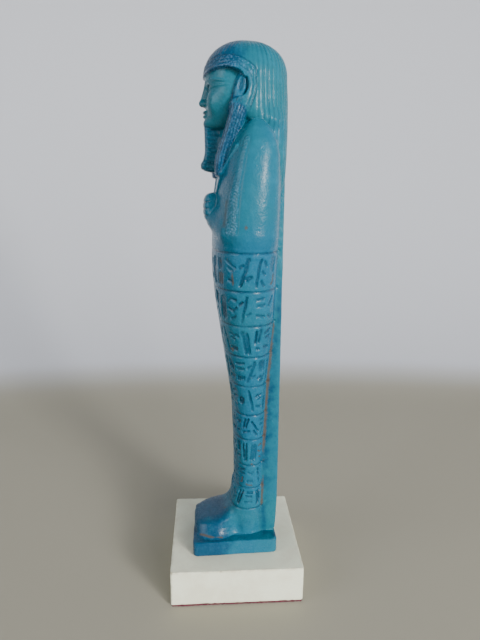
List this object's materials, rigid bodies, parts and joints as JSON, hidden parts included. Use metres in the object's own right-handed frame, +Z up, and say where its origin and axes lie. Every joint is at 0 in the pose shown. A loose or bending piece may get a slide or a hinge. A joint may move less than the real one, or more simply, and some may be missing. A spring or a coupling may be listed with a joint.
{
  "type": "ushabti figurine",
  "caption": "Standing mummiform funerary figurine with tripartite wig, false beard, crossed arms and back pillar, on a painted square display plinth with a felt sole.",
  "frame": {"origin": "middle of the felt's underside", "axes": "+Z up along the figure; the figure faces -Y and its left side is towards +X"},
  "size_m": [0.065, 0.065, 0.2609],
  "materials": {
    "glaze": "turquoise glaze over an ochre body, satin gloss, mottled",
    "cream_paint": "cream paint on wood, eggshell, a little worn at the edges",
    "felt": "dark red felt"
  },
  "bodies": {
    "root": {"ushabti_figure": "glaze", "display_plinth": "cream_paint", "felt_sole": "felt"}
  },
  "joints": []
}
